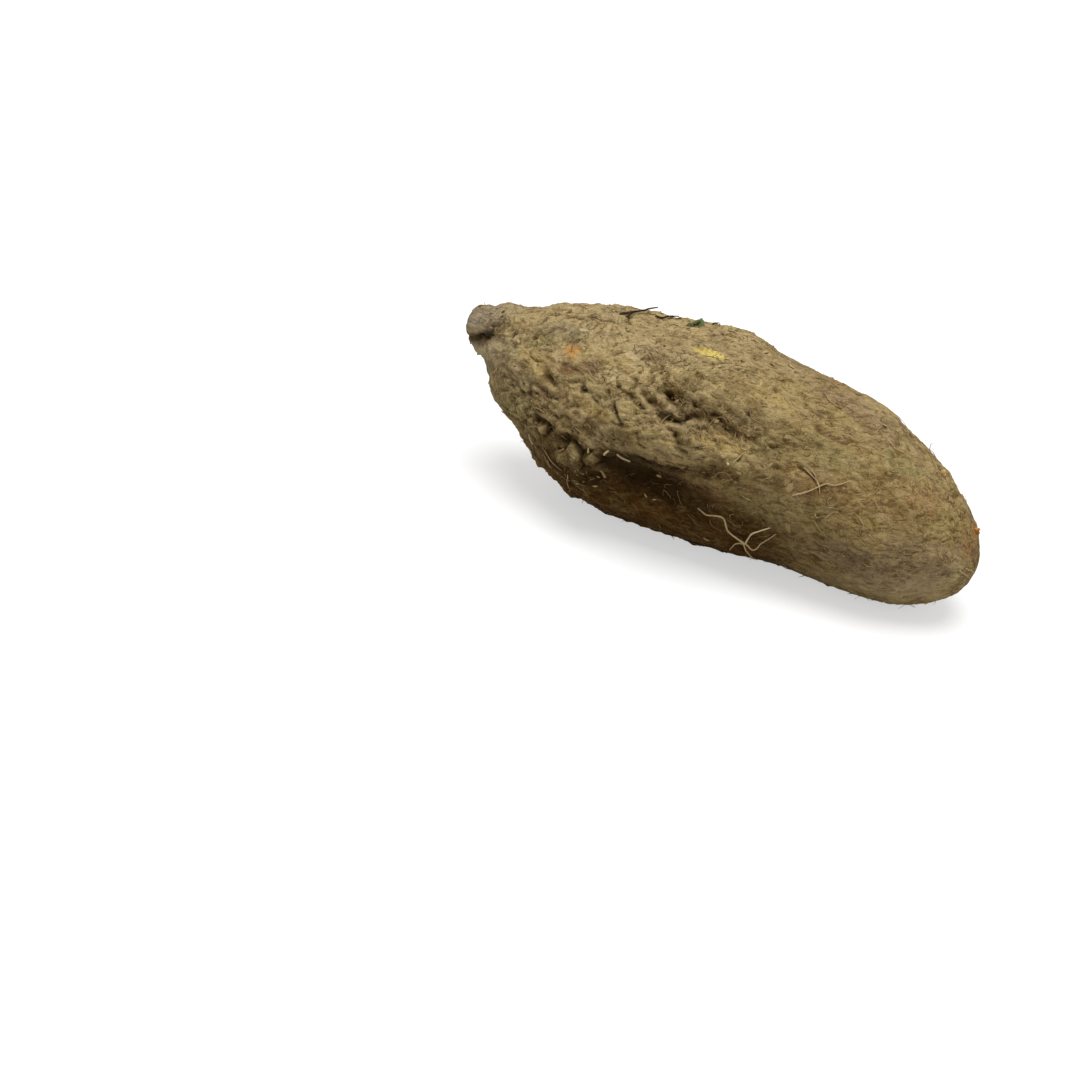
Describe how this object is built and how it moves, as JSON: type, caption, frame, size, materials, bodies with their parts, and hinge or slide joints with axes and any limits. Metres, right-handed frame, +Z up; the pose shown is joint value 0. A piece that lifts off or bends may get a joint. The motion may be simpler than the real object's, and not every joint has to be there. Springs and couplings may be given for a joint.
{
  "type": "purple yam",
  "caption": "Whole unpeeled purple yam tuber lying on its belly: a lobed, soil-dusted brown spindle with a rough crown knob and a smooth blunt tail.",
  "frame": {"origin": "middle of the tuber's bounding box, on the flat surface that it rests on", "axes": "+X along the tuber from the crown knob to the tail, +Y to its back, +Z up"},
  "size_m": [0.239, 0.0982, 0.0899],
  "materials": {
    "skin": null
  },
  "bodies": {
    "root": {"tuber": "skin"}
  },
  "joints": []
}
